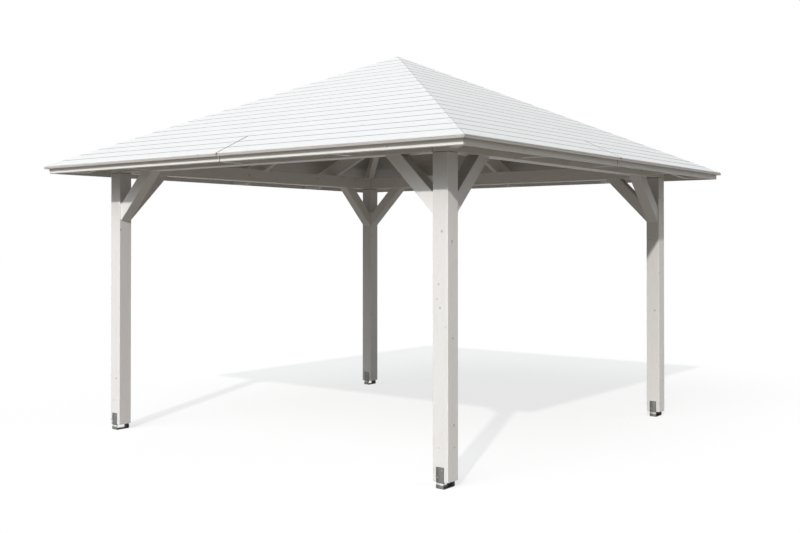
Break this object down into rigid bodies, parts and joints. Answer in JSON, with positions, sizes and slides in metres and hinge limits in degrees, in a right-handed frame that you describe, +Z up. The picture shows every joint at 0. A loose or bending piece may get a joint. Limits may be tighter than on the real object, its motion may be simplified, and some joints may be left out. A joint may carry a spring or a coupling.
{
  "type": "garden gazebo",
  "caption": "Open square timber gazebo: corner posts on steel shoes, knee-braced plates and a boarded pyramid roof with wide eaves.",
  "frame": {"origin": "on the ground at the middle of the four posts", "axes": "+Z up; +Y towards the back, +X towards the right seen from the front"},
  "size_m": [4.294, 4.294, 3.2461],
  "materials": {
    "post_glulam": "glued laminated spruce, planed, white-glazed",
    "plate_glulam": "glued laminated spruce, planed, white-glazed",
    "brace_timber": "planed spruce, white-glazed",
    "rafter_timber": "planed spruce, white-glazed",
    "fascia_timber": "planed spruce, white-glazed",
    "roof_boards": "tongue-and-groove spruce boards, white-glazed",
    "galvanised_shoe": "hot-dip galvanised strip, dull"
  },
  "bodies": {
    "root": {"post_front_left": "post_glulam", "post_front_right": "post_glulam", "post_back_left": "post_glulam", "post_back_right": "post_glulam", "post_shoe_front_left": "galvanised_shoe", "post_shoe_front_right": "galvanised_shoe", "post_shoe_back_left": "galvanised_shoe", "post_shoe_back_right": "galvanised_shoe", "plate_front": "plate_glulam", "plate_back": "plate_glulam", "plate_left": "plate_glulam", "plate_right": "plate_glulam", "brace_front_left": "brace_timber", "brace_front_right": "brace_timber", "brace_back_left": "brace_timber", "brace_back_right": "brace_timber", "brace_left_front": "brace_timber", "brace_left_back": "brace_timber", "brace_right_front": "brace_timber", "brace_right_back": "brace_timber", "hip_rafter_front_left": "rafter_timber", "hip_rafter_front_right": "rafter_timber", "hip_rafter_back_left": "rafter_timber", "hip_rafter_back_right": "rafter_timber", "common_rafter_front": "rafter_timber", "common_rafter_back": "rafter_timber", "common_rafter_left": "rafter_timber", "common_rafter_right": "rafter_timber", "jack_rafters_front": "rafter_timber", "jack_rafters_back": "rafter_timber", "jack_rafters_left": "rafter_timber", "jack_rafters_right": "rafter_timber", "king_block": "rafter_timber", "fascia_front": "fascia_timber", "fascia_back": "fascia_timber", "fascia_left": "fascia_timber", "fascia_right": "fascia_timber", "roof_boarding_front": "roof_boards", "roof_boarding_back": "roof_boards", "roof_boarding_left": "roof_boards", "roof_boarding_right": "roof_boards"}
  },
  "joints": []
}
